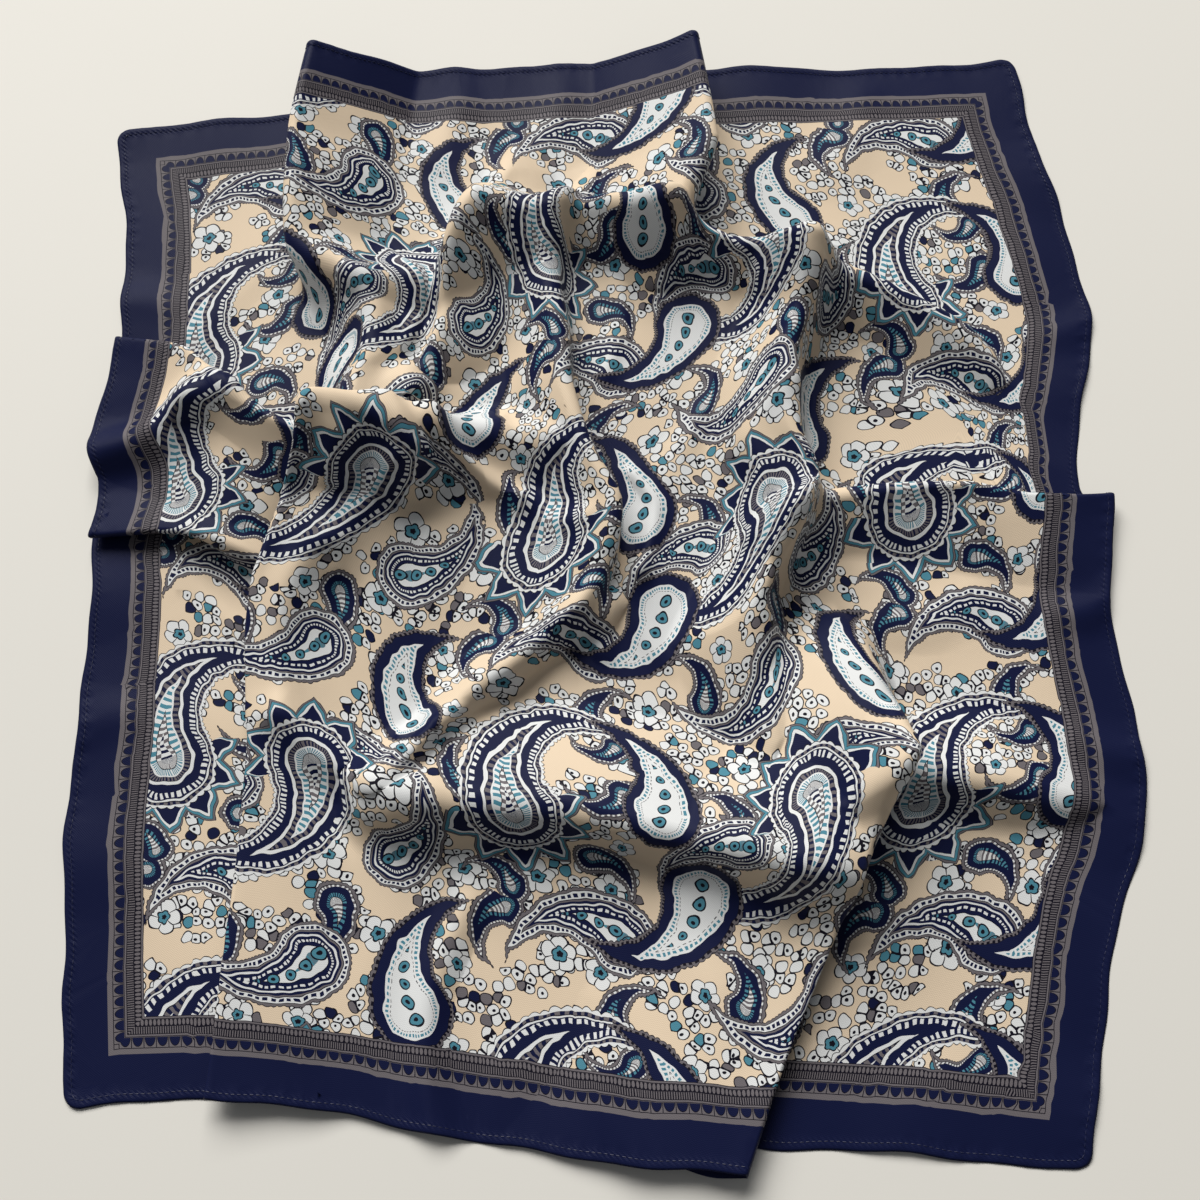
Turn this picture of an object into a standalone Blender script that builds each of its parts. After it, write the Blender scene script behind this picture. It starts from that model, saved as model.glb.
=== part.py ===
"""A square bandana, dropped loosely on a table.

One square of thin cloth lies with its face up. Soft folds cross it, and where a fold meets a
hem it closes to a flat pleat whose layers lie on each other. The cloth is a thin wall that
follows a single surface: a point (u, v) of the flat square is carried to its place (x, y, z).
Lengths are metres, +Z is up, +X runs to the right and +Y away from the front hem.
"""

import math

import bpy
import numpy as np

# ---------------------------------------------------------------- driving sizes
CUT = 0.70             # side of the square of cloth, laid flat
HALF = CUT / 2
WALL = 0.0011          # thickness of the wall
CELLS = 380            # cells of the fine grid along one side
WALL_TRIANGLES = 5500  # triangles of the thinned middle surface
STEPS = 26             # points on each rounded bend of a fold's section
TOE_ROUND = 0.012      # radius where a fold runs out on the table
LEAST_SPARE, MOST_SPARE = 0.85, 1.12  # how far a line's folds shrink or grow to fit its ends

CLOTH_COLOUR = (0.62, 0.50, 0.38, 1.0)
CLOTH_ROUGHNESS = 0.45

# ---------------------------------------------------------------- outline on the table
# Where the left and right hems lie, for a row at height v of the flat cloth.
SIDE_HEMS = {
    "v":       (-0.350, -0.287, -0.235, -0.145, -0.100, -0.043, 0.022, 0.050, 0.155, 0.200, 0.350),
    "left_x":  (-0.265, -0.274, -0.279, -0.282, -0.2835, -0.286, -0.284, -0.291, -0.281, -0.2835, -0.302),
    "right_x": (0.239, 0.254, 0.267, 0.291, 0.288, 0.284, 0.290, 0.274, 0.292, 0.288, 0.263),
}
# Where the front and back hems lie, for a column at u of the flat cloth.
END_HEMS = {
    "u":       (-0.350, -0.231, -0.186, -0.080, 0.089, 0.144, 0.250, 0.350),
    "front_y": (-0.268, -0.259, -0.262, -0.277, -0.298, -0.282, -0.288, -0.295),
    "back_y":  (0.313, 0.326, 0.350, 0.358, 0.362, 0.358, 0.360, 0.365),
}

# ---------------------------------------------------------------- folds
# Each row of a fold gives a station across the fold, where its crest lies on the table, the
# cloth that it takes up, the angle of its steep side, the angle of its long side, and the
# radius of its bends. Over 90 degrees the steep side turns under, and near 180 it is a pleat.
COLUMN_FOLDS = {
    # name: (side that the crest leans to, rows of (v, x, take_up, steep, ease, bend))
    "left": (-1, (
        (0.350, -0.177, 0.070, 132, 30, 0.0040),
        (0.280, -0.184, 0.062, 132, 30, 0.0045),
        (0.220, -0.172, 0.034, 106, 30, 0.0060),
        (0.165, -0.120, 0.014, 40, 30, 0.0100),
        (0.100, -0.126, 0.018, 48, 26, 0.0090),
        (0.035, -0.152, 0.036, 112, 19, 0.0060),
        (-0.040, -0.174, 0.058, 148, 14, 0.0032),
        (-0.110, -0.184, 0.066, 166, 9, 0.0019),
        (-0.220, -0.186, 0.080, 172, 6.5, 0.0017),
        (-0.350, -0.192, 0.090, 173, 6, 0.0017),
    )),
    "upper_left": (-1, (
        (0.300, -0.052, 0.000, 36, 24, 0.0120),
        (0.245, -0.058, 0.010, 58, 24, 0.0090),
        (0.190, -0.066, 0.016, 68, 24, 0.0080),
        (0.140, -0.076, 0.012, 60, 24, 0.0090),
        (0.100, -0.082, 0.000, 40, 22, 0.0120),
    )),
    "middle": (1, (
        (0.280, -0.004, 0.000, 40, 26, 0.0120),
        (0.200, -0.008, 0.010, 60, 30, 0.0095),
        (0.130, -0.003, 0.018, 76, 34, 0.0075),
        (0.070, 0.007, 0.026, 90, 36, 0.0060),
        (0.025, 0.015, 0.028, 94, 36, 0.0055),
        (-0.015, 0.008, 0.018, 78, 32, 0.0075),
        (-0.060, -0.004, 0.000, 40, 24, 0.0120),
    )),
    "back_right": (1, (
        (0.350, 0.057, 0.066, 134, 28, 0.0040),
        (0.290, 0.064, 0.058, 126, 28, 0.0050),
        (0.240, 0.066, 0.036, 94, 30, 0.0080),
        (0.200, 0.068, 0.014, 56, 26, 0.0120),
        (0.160, 0.070, 0.000, 30, 20, 0.0140),
    )),
    "inner_right": (1, (
        (0.225, 0.167, 0.000, 36, 34, 0.0110),
        (0.185, 0.162, 0.014, 50, 38, 0.0090),
        (0.145, 0.155, 0.026, 64, 40, 0.0078),
        (0.100, 0.144, 0.030, 70, 40, 0.0070),
        (0.045, 0.131, 0.030, 74, 38, 0.0070),
        (0.000, 0.122, 0.030, 80, 36, 0.0070),
        (-0.050, 0.111, 0.024, 70, 32, 0.0085),
        (-0.095, 0.104, 0.010, 52, 28, 0.0105),
        (-0.140, 0.098, 0.000, 36, 24, 0.0120),
    )),
    "front_right": (1, (
        (-0.060, 0.162, 0.000, 36, 24, 0.0120),
        (-0.100, 0.161, 0.018, 62, 24, 0.0100),
        (-0.145, 0.155, 0.038, 88, 23, 0.0080),
        (-0.190, 0.142, 0.056, 122, 20, 0.0056),
        (-0.240, 0.121, 0.080, 163, 11, 0.0021),
        (-0.300, 0.089, 0.095, 171, 7.5, 0.0017),
        (-0.350, 0.069, 0.108, 173, 6, 0.0017),
    )),
}
ROW_FOLDS = {
    # name: (side that the crest leans to, rows of (u, y, take_up, steep, ease, bend))
    "left_upper": (1, (
        (-0.350, 0.157, 0.076, 169, 9, 0.0017),
        (-0.300, 0.146, 0.076, 156, 15, 0.0027),
        (-0.250, 0.128, 0.060, 132, 26, 0.0047),
        (-0.205, 0.119, 0.040, 96, 38, 0.0068),
        (-0.155, 0.117, 0.030, 76, 42, 0.0080),
        (-0.115, 0.108, 0.022, 62, 40, 0.0095),
        (-0.075, 0.096, 0.012, 48, 34, 0.0120),
        (-0.020, 0.086, 0.000, 30, 24, 0.0150),
    )),
    "left_step": (-1, (
        (-0.350, 0.036, 0.036, 172, 6.5, 0.0017),
        (-0.300, 0.039, 0.028, 156, 12, 0.0024),
        (-0.265, 0.042, 0.012, 80, 16, 0.0060),
        (-0.230, 0.043, 0.000, 40, 16, 0.0100),
    )),
    "back": (1, (
        (-0.200, 0.226, 0.000, 26, 24, 0.0150),
        (-0.110, 0.230, 0.010, 38, 34, 0.0120),
        (-0.057, 0.237, 0.018, 50, 40, 0.0105),
        (-0.015, 0.240, 0.022, 58, 42, 0.0095),
        (0.046, 0.231, 0.028, 80, 44, 0.0075),
        (0.095, 0.218, 0.034, 92, 43, 0.0066),
        (0.150, 0.205, 0.034, 90, 42, 0.0068),
        (0.200, 0.194, 0.026, 80, 40, 0.0078),
        (0.250, 0.170, 0.012, 60, 32, 0.0100),
        (0.300, 0.140, 0.000, 40, 26, 0.0120),
    )),
    "centre": (-1, (
        (-0.115, -0.106, 0.000, 40, 32, 0.0110),
        (-0.085, -0.088, 0.010, 56, 36, 0.0095),
        (-0.050, -0.056, 0.018, 68, 38, 0.0080),
        (-0.020, -0.036, 0.020, 70, 38, 0.0080),
        (0.008, -0.018, 0.012, 58, 34, 0.0095),
        (0.040, -0.004, 0.000, 40, 28, 0.0120),
    )),
    "front": (-1, (
        (-0.130, -0.112, 0.000, 30, 18, 0.0150),
        (-0.085, -0.114, 0.014, 50, 24, 0.0120),
        (-0.020, -0.119, 0.024, 62, 25, 0.0105),
        (0.040, -0.132, 0.028, 68, 25, 0.0100),
        (0.090, -0.145, 0.024, 62, 25, 0.0105),
        (0.125, -0.153, 0.011, 44, 22, 0.0130),
        (0.155, -0.158, 0.000, 30, 18, 0.0150),
    )),
    "right_front": (-1, (
        (0.135, -0.122, 0.000, 30, 24, 0.0130),
        (0.170, -0.105, 0.010, 50, 28, 0.0105),
        (0.205, -0.096, 0.018, 62, 30, 0.0090),
        (0.245, -0.101, 0.014, 56, 28, 0.0100),
        (0.290, -0.108, 0.006, 42, 22, 0.0125),
        (0.330, -0.112, 0.000, 30, 18, 0.0150),
    )),
    "right_step": (1, (
        (0.105, 0.030, 0.000, 30, 26, 0.0110),
        (0.150, 0.045, 0.014, 56, 34, 0.0085),
        (0.190, 0.055, 0.022, 82, 34, 0.0062),
        (0.235, 0.060, 0.026, 106, 28, 0.0044),
        (0.290, 0.063, 0.028, 150, 16, 0.0024),
        (0.350, 0.064, 0.028, 171, 8, 0.0017),
    )),
}


def smooth_column(stations, values, at):
    """A smooth curve through a table's column that doesn't overshoot it, read at `at`."""
    order = np.argsort(stations)
    x = np.asarray(stations, float)[order]
    y = np.asarray(values, float)[order]
    step = np.diff(x)
    slope = np.diff(y) / step
    tangent = np.zeros(len(x))
    same_way = slope[:-1] * slope[1:] > 0
    inner = np.zeros(len(slope) - 1)
    inner[same_way] = 2 / (1 / slope[:-1][same_way] + 1 / slope[1:][same_way])
    tangent[1:-1] = inner
    tangent[0] = slope[0]
    tangent[-1] = slope[-1]
    at = np.clip(at, x[0], x[-1])
    i = np.clip(np.searchsorted(x, at, side="right") - 1, 0, len(step) - 1)
    t = (at - x[i]) / step[i]
    rise = y[i + 1] - y[i]
    a = step[i] * tangent[i] - rise
    b = rise - step[i] * tangent[i + 1]
    return y[i] + rise * t + t * (1 - t) * (a * (1 - t) + b * t)


def fold_section(take_up, steep, ease, bend):
    """The section of one fold, from its steep side: distance along the cloth, take-up so far
    and height, with the distance measured from the crest."""
    toe = TOE_ROUND
    fixed_rise = bend * (1 - math.cos(steep)) + bend * (math.cos(ease) - math.cos(steep))

    def parts(scale):
        """Lengths of the two straight sides for bends of this scale, and what the bends
        and the long side take up."""
        drop = toe * scale * (1 - math.cos(ease))
        base = (fixed_rise * scale - drop) / math.sin(ease)
        bends = bend * scale * (steep - math.sin(steep))
        bends += bend * scale * (steep + ease - math.sin(steep) - math.sin(ease))
        bends += toe * scale * (ease - math.sin(ease))
        bends += base * (1 - math.cos(ease))
        return base, bends

    base, used = parts(1.0)
    scale = 1.0
    if used > take_up:
        scale = take_up / used
        base, used = parts(scale)
    per_length = 1 - math.cos(steep) + math.sin(steep) * math.tan(ease / 2)
    rise_length = max(0.0, take_up - used) / per_length
    fall_length = max(0.0, base + rise_length * math.sin(steep) / math.sin(ease))

    runs = (
        (bend * scale * steep, 0.0, steep),
        (rise_length, steep, steep),
        (bend * scale * steep, steep, 0.0),
        (bend * scale * ease, 0.0, -ease),
        (fall_length, -ease, -ease),
        (toe * scale * ease, -ease, 0.0),
    )
    lengths, angles = [], []
    for length, start, end in runs:
        lengths += [length / STEPS] * STEPS
        share = (np.arange(STEPS) + 0.5) / STEPS
        angles += list(start + (end - start) * share)
    lengths = np.array(lengths)
    angles = np.array(angles)
    along = np.concatenate(([0.0], np.cumsum(lengths)))
    taken = np.concatenate(([0.0], np.cumsum(lengths * (1 - np.cos(angles)))))
    height = np.concatenate(([0.0], np.cumsum(lengths * np.sin(angles))))
    height -= height[-1] * along / along[-1]
    crest = 3 * STEPS
    return along - along[crest], taken, height


def line_of_cloth(at, ends, folds, flat):
    """One line of the cloth across its folds: places on the table and heights of the points
    `flat`. `at` is the line's station and `ends` are the places of its two ends."""
    start, end = ends
    rows = []
    for lean, table in folds.values():
        columns = list(zip(*table))
        crest, take_up, steep, ease, bend = (
            smooth_column(columns[0], column, at) for column in columns[1:]
        )
        if take_up > 1e-5:
            rows.append([float(crest), float(take_up), float(steep), float(ease),
                         float(bend), lean])
    rows.sort()
    needed = CUT - (end - start)
    total = sum(row[1] for row in rows)
    spare = min(max(needed / total, LEAST_SPARE), MOST_SPARE)
    place = start + (flat + HALF)
    height = np.zeros_like(flat)
    before = 0.0
    for crest, take_up, steep, ease, bend, lean in rows:
        take_up *= spare
        along, taken, rise = fold_section(
            take_up, math.radians(steep), math.radians(ease), bend)
        if lean > 0:
            along, taken, rise = -along[::-1], taken[-1] - taken[::-1], rise[::-1]
        whole = taken[-1]
        at_crest = float(np.interp(0.0, along, taken))
        middle = crest - start - HALF + before + at_crest
        place -= np.interp(flat - middle, along, taken)
        height += np.interp(flat - middle, along, rise)
        before += whole
    place += (end - place[-1]) * (flat + HALF) / CUT
    return place, height


def cloth_points():
    """The middle surface of the cloth as a grid of points, a row for each v."""
    flat = np.linspace(-HALF, HALF, CELLS + 1)
    points = np.zeros((CELLS + 1, CELLS + 1, 3))
    left = smooth_column(SIDE_HEMS["v"], SIDE_HEMS["left_x"], flat)
    right = smooth_column(SIDE_HEMS["v"], SIDE_HEMS["right_x"], flat)
    front = smooth_column(END_HEMS["u"], END_HEMS["front_y"], flat)
    back = smooth_column(END_HEMS["u"], END_HEMS["back_y"], flat)
    for j, v in enumerate(flat):
        x, rise = line_of_cloth(v, (left[j], right[j]), COLUMN_FOLDS, flat)
        points[j, :, 0] = x
        points[j, :, 2] += rise
    for i, u in enumerate(flat):
        y, rise = line_of_cloth(u, (front[i], back[i]), ROW_FOLDS, flat)
        points[:, i, 1] = y
        points[:, i, 2] += rise
    points[:, :, 2] += WALL / 2
    low = points.reshape(-1, 3).min(axis=0)
    high = points.reshape(-1, 3).max(axis=0)
    points[:, :, :2] -= (low[:2] + high[:2]) / 2
    return points


def grid_mesh(name, points):
    """A mesh of quads on a grid of points, with its faces up."""
    rows, columns = points.shape[:2]
    number = np.arange(rows * columns).reshape(rows, columns)
    faces = np.stack(
        (number[:-1, :-1], number[:-1, 1:], number[1:, 1:], number[1:, :-1]), axis=-1)
    mesh = bpy.data.meshes.new(name)
    mesh.from_pydata(points.reshape(-1, 3).tolist(), [], faces.reshape(-1, 4).tolist())
    mesh.update()
    return mesh


def cloth_material():
    material = bpy.data.materials.new("printed_satin")
    material.use_nodes = True
    shader = material.node_tree.nodes["Principled BSDF"]
    shader.inputs["Base Color"].default_value = CLOTH_COLOUR
    shader.inputs["Roughness"].default_value = CLOTH_ROUGHNESS
    shader.inputs["Metallic"].default_value = 0.0
    return material


def make_cloth():
    """The square of cloth: its middle surface, thinned where it is flat, then given a wall."""
    mesh = grid_mesh("cloth", cloth_points())
    cloth = bpy.data.objects.new("cloth", mesh)
    bpy.context.collection.objects.link(cloth)
    cloth.data.materials.append(cloth_material())
    thin = cloth.modifiers.new("thin", "DECIMATE")
    thin.ratio = WALL_TRIANGLES / (2 * CELLS * CELLS)
    wall = cloth.modifiers.new("wall", "SOLIDIFY")
    wall.thickness = WALL
    wall.offset = 0.0
    return cloth


def main():
    for old in list(bpy.data.objects):
        bpy.data.objects.remove(old, do_unlink=True)
    make_cloth()


main()
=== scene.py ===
"""A square paisley bandana dropped on a pale table: its printed satin cloth, turned hem and
stitches, with a plain stage. Lengths are metres unless a name or a comment says mm."""

import math

import bpy
import numpy as np
from bpy.props import FloatProperty, FloatVectorProperty, IntProperty, PointerProperty
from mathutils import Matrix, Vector


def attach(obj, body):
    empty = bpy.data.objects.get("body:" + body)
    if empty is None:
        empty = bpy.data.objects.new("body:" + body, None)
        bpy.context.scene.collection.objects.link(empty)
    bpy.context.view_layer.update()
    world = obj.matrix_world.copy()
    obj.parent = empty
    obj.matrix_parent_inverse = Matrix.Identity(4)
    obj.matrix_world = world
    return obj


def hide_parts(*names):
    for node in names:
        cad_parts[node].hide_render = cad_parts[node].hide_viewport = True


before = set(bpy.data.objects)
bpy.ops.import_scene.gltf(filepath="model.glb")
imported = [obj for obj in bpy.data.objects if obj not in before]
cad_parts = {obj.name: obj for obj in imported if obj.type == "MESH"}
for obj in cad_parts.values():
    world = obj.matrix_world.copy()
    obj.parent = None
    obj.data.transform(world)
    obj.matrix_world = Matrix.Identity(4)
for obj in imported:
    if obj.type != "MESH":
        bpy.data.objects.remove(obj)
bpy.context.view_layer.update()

bl_info = {
    "name": "Paisley bandana",
    "version": (1, 0, 0),
    "blender": (4, 5, 0),
    "location": "View3D > Sidebar > Bandana",
    "description": "Builds a printed square scarf that lies in soft folds, with its stage",
    "category": "Add Mesh",
}

# ---- driving sizes
CUT = 0.70             # side of the square of cloth, laid flat
HALF = CUT / 2
SIDE_MM = CUT * 1000
STEPS = 26             # points on each rounded bend of a fold's section
COARSE_CELLS = 60      # cells along one side where only the cloth's box is needed
TOE_ROUND = 0.012      # radius where a fold runs out on the table
LEAST_TAKE_UP = 1e-5   # a fold that takes up less cloth than this has ended
LEAST_SPARE, MOST_SPARE = 0.85, 1.12  # how far a line's folds shrink or grow to fit its ends
CORNER = 0.009         # radius of the cloth's corners
STITCH_INSET = 0.0002  # from the hem's inner fold to its stitches
RUN_STEP = 0.0008      # half of the stretch that a stitch's direction is read from
THREAD_SHOWING = 0.35  # share of the thread's radius that its middle stands off the cloth
TABLE_REACH = 6.0      # from the middle of the table top to its sides
FLAT_MAP = "flat_cloth"

# ---- outline on the table
# Where the left and right hems lie, for a row at height v of the flat cloth, in mm.
SIDE_HEMS = {
    "v":       (-350, -287, -235, -145, -100, -43, 22, 50, 155, 200, 350),
    "left_x":  (-265, -274, -279, -282, -283.5, -286, -284, -291, -281, -283.5, -302),
    "right_x": (239, 254, 267, 291, 288, 284, 290, 274, 292, 288, 263),
}
# Where the front and back hems lie, for a column at u of the flat cloth, in mm.
END_HEMS = {
    "u":       (-350, -231, -186, -80, 89, 144, 250, 350),
    "front_y": (-268, -259, -262, -277, -298, -282, -288, -295),
    "back_y":  (313, 326, 350, 358, 362, 358, 360, 365),
}

# ---- folds
# Each row of a fold gives a station along it, where its crest lies on the table and the cloth
# that it takes up, in mm, the angles of its steep side and its long side, in degrees, and the
# radius of its bends, in tenths of a mm. Over 90 degrees the steep side turns under, and near
# 180 it is a pleat.
COLUMN_FOLDS = {
    # name: (side that the crest leans to, rows of (v, x, take_up, steep, ease, bend))
    "left": (-1, (
        (350, -177, 70, 132, 30, 40), (280, -184, 62, 132, 30, 45),
        (220, -172, 34, 106, 30, 60), (165, -120, 14, 40, 30, 100),
        (100, -126, 18, 48, 26, 90), (35, -152, 36, 112, 19, 60),
        (-40, -174, 58, 148, 14, 32), (-110, -184, 66, 166, 9, 19),
        (-220, -186, 80, 172, 6.5, 17), (-350, -192, 90, 173, 6, 17),
    )),
    "upper_left": (-1, (
        (300, -52, 0, 36, 24, 120), (245, -58, 10, 58, 24, 90),
        (190, -66, 16, 68, 24, 80), (140, -76, 12, 60, 24, 90),
        (100, -82, 0, 40, 22, 120),
    )),
    "middle": (1, (
        (280, -4, 0, 40, 26, 120), (200, -8, 10, 60, 30, 95),
        (130, -3, 18, 76, 34, 75), (70, 7, 26, 90, 36, 60),
        (25, 15, 28, 94, 36, 55), (-15, 8, 18, 78, 32, 75),
        (-60, -4, 0, 40, 24, 120),
    )),
    "back_right": (1, (
        (350, 57, 66, 134, 28, 40), (290, 64, 58, 126, 28, 50),
        (240, 66, 36, 94, 30, 80), (200, 68, 14, 56, 26, 120),
        (160, 70, 0, 30, 20, 140),
    )),
    "inner_right": (1, (
        (225, 167, 0, 36, 34, 110), (185, 162, 14, 50, 38, 90),
        (145, 155, 26, 64, 40, 78), (100, 144, 30, 70, 40, 70),
        (45, 131, 30, 74, 38, 70), (0, 122, 30, 80, 36, 70),
        (-50, 111, 24, 70, 32, 85), (-95, 104, 10, 52, 28, 105),
        (-140, 98, 0, 36, 24, 120),
    )),
    "front_right": (1, (
        (-60, 162, 0, 36, 24, 120), (-100, 161, 18, 62, 24, 100),
        (-145, 155, 38, 88, 23, 80), (-190, 142, 56, 122, 20, 56),
        (-240, 121, 80, 163, 11, 21), (-300, 89, 95, 171, 7.5, 17),
        (-350, 69, 108, 173, 6, 17),
    )),
}
ROW_FOLDS = {
    # name: (side that the crest leans to, rows of (u, y, take_up, steep, ease, bend))
    "left_upper": (1, (
        (-350, 157, 76, 169, 9, 17), (-300, 146, 76, 156, 15, 27),
        (-250, 128, 60, 132, 26, 47), (-205, 119, 40, 96, 38, 68),
        (-155, 117, 30, 76, 42, 80), (-115, 108, 22, 62, 40, 95),
        (-75, 96, 12, 48, 34, 120), (-20, 86, 0, 30, 24, 150),
    )),
    "left_step": (-1, (
        (-350, 36, 36, 172, 6.5, 17), (-300, 39, 28, 156, 12, 24),
        (-265, 42, 12, 80, 16, 60), (-230, 43, 0, 40, 16, 100),
    )),
    "back": (1, (
        (-200, 226, 0, 26, 24, 150), (-110, 230, 10, 38, 34, 120),
        (-57, 237, 18, 50, 40, 105), (-15, 240, 22, 58, 42, 95),
        (46, 231, 28, 80, 44, 75), (95, 218, 34, 92, 43, 66),
        (150, 205, 34, 90, 42, 68), (200, 194, 26, 80, 40, 78),
        (250, 170, 12, 60, 32, 100), (300, 140, 0, 40, 26, 120),
    )),
    "centre": (-1, (
        (-115, -106, 0, 40, 32, 110), (-85, -88, 10, 56, 36, 95),
        (-50, -56, 18, 68, 38, 80), (-20, -36, 20, 70, 38, 80),
        (8, -18, 12, 58, 34, 95), (40, -4, 0, 40, 28, 120),
    )),
    "front": (-1, (
        (-130, -112, 0, 30, 18, 150), (-85, -114, 14, 50, 24, 120),
        (-20, -119, 24, 62, 25, 105), (40, -132, 28, 68, 25, 100),
        (90, -145, 24, 62, 25, 105), (125, -153, 11, 44, 22, 130),
        (155, -158, 0, 30, 18, 150),
    )),
    "right_front": (-1, (
        (135, -122, 0, 30, 24, 130), (170, -105, 10, 50, 28, 105),
        (205, -96, 18, 62, 30, 90), (245, -101, 14, 56, 28, 100),
        (290, -108, 6, 42, 22, 125), (330, -112, 0, 30, 18, 150),
    )),
    "right_step": (1, (
        (105, 30, 0, 30, 26, 110), (150, 45, 14, 56, 34, 85),
        (190, 55, 22, 82, 34, 62), (235, 60, 26, 106, 28, 44),
        (290, 63, 28, 150, 16, 24), (350, 64, 28, 171, 8, 17),
    )),
}

# ---- soft creases
# Small ridges (+) and troughs (-) from one point of the flat cloth to another, in mm.
CREASES = (
    # u0, v0, u1, v1, height, half width
    (-350, 40, -284, 60, 11.0, 13), (-288, 60, -236, 84, 6.0, 12),
    (-150, 102, -108, 52, 4.5, 9), (-108, 52, -60, 26, 8.0, 10),
    (-62, 26, -14, 15, 4.0, 8), (-140, 92, -122, 28, 7.5, 12),
    (-122, 34, -134, -50, 7.0, 12), (-98, 30, -102, -40, -4.0, 13),
    (-176, 40, -168, -20, -3.0, 10), (-150, 114, -130, 96, 5.0, 12),
    (10, 110, 12, 200, 2.5, 7), (30, 60, 34, 150, -2.0, 8),
    (-164, 26, -148, -36, 6.5, 11), (-150, -40, -156, -140, 6.0, 12),
    (-160, -142, -84, -176, 7.0, 12), (-128, -60, -122, -130, -3.0, 12),
    (-140, -180, -96, -208, -3.0, 11), (46, -16, 45, 42, 4.0, 6),
    (46, -16, 24, -66, 4.0, 7), (44, -20, 60, -70, 2.5, 7),
    (34, -10, 34, 40, -3.0, 7), (66, 40, 84, 150, 2.5, 10),
    (94, -20, 118, 70, 2.5, 9), (-168, 120, -206, 196, 3.5, 9),
    (-158, 126, -150, 206, 4.0, 8), (-148, 118, -118, 176, -3.0, 8),
    (-186, 122, -240, 178, -2.5, 9), (145, 74, 122, 18, 3.0, 9),
    (150, -20, 176, -70, 3.0, 12), (-60, -236, -78, -350, 6.0, 10),
    (-44, -250, -56, -350, -2.5, 9), (-124, -262, -120, -350, -2.0, 13),
    (10, -276, 22, -350, 2.5, 12), (112, -230, 84, -300, -2.0, 13),
    (40, -190, 60, -262, 2.0, 16), (-300, -60, -262, -96, 2.0, 12),
    (-290, -60, -250, -160, -1.5, 16), (-250, -230, -276, -300, 1.6, 16),
    (206, -64, 268, -50, 2.6, 12), (230, 10, 300, 24, -2.0, 13),
    (240, -220, 300, -250, 1.8, 16), (250, 250, 300, 262, -2.0, 16),
    (210, 270, 250, 330, 2.0, 14), (-300, 300, -240, 250, -1.6, 16),
    (-270, 230, -320, 160, 1.8, 14), (-92, 280, -70, 350, 3.0, 12),
    (-20, 296, -6, 350, 2.5, 11), (-40, 262, -66, 300, -2.4, 11),
    (118, 296, 140, 350, 2.2, 12), (318, -60, 350, -52, 4.0, 11),
    (316, -132, 350, -142, 3.4, 12), (322, 150, 350, 160, 2.8, 12),
    (-322, -150, -350, -158, 2.4, 13), (-322, 220, -350, 226, 2.4, 12),
)

# ---- slow waves
# Each row: radians for a metre along u and along v, phase, and height beside the others.
LOOSE_WAVES = (
    (31, 17, 0.3, 0.9), (-23, 38, 1.7, 1.0), (47, -29, 4.1, 0.7), (12, 61, 2.2, 0.6),
    (71, 22, 5.3, 0.4), (-58, 66, 0.9, 0.35),
)
SIDE_HEM_WAVES = ((4, 34, 0.0, 1.0), (3, 71, 1.9, 0.6), (0, 157, 0.7, 0.35))
END_HEM_WAVES = ((31, 4, 1.1, 1.0), (67, -3, 2.6, 0.6), (149, 0, 0.2, 0.35))
SIDE_HEM_LIFT, END_HEM_LIFT = ((6, 43, 0.8, 1.0),), ((39, -5, 2.2, 1.0),)
HEM_REACH = 0.045  # how far from a hem its own waves fade out

# ---- print, in mm
NAVY = (0.0068, 0.0098, 0.0430)
INK = (0.0080, 0.0070, 0.0140)
GREY = (0.150, 0.135, 0.145)
WHITE = (0.720, 0.730, 0.730)
TEAL = (0.075, 0.235, 0.310)
PEACH = (0.745, 0.600, 0.440)

# Bands of the border, from the hem inwards: where each starts and its colour.
BORDER_BANDS = (
    (0.0, NAVY), (22.5, GREY), (25.0, INK), (25.4, GREY), (30.6, INK), (31.0, GREY),
    (31.8, INK), (32.2, GREY), (35.7, INK), (36.3, GREY), (39.3, INK), (39.6, GREY),
    (40.5, INK), (40.9, PEACH),
)
FIELD_EDGE = 40.9
HEM_MM, PUCKER_MM = 3.8, 3.1  # width of the turned hem and pitch of its small puckers
# Rows of arches, rungs and beads: pitch along the hem, where each row starts and ends, sizes
ARCH_PITCH, ARCH_TOP, ARCH_FOOT = SIDE_MM / 113, 25.4, 30.6
ARCH_HEIGHT, ARCH_WIDTH, ARCH_GAP = 4.3, 2.55, 0.22
ARCH_RIM, ARCH_FILL = 1.15, 0.92  # where an arch's outline ends and its fill ends
RUNG_PITCH, RUNG_START, RUNG_END = SIDE_MM / 584, 32.2, 35.7
BEAD_PITCH, BEAD_START, BEAD_END = SIDE_MM / 336, 36.3, 39.3
BEAD_WIDTH, BEAD_LENGTH = 0.76, 1.6
# The turned hem's section: distance from its outer fold in cm, and height as a share
HEM_SECTION = ((0.0, 0.7), (0.06, 1.0), (0.32, 0.6), (0.37, 0.0), (0.41, 0.35))

REPEAT = (309.1, 206.1)  # the print's repeat across and up

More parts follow.
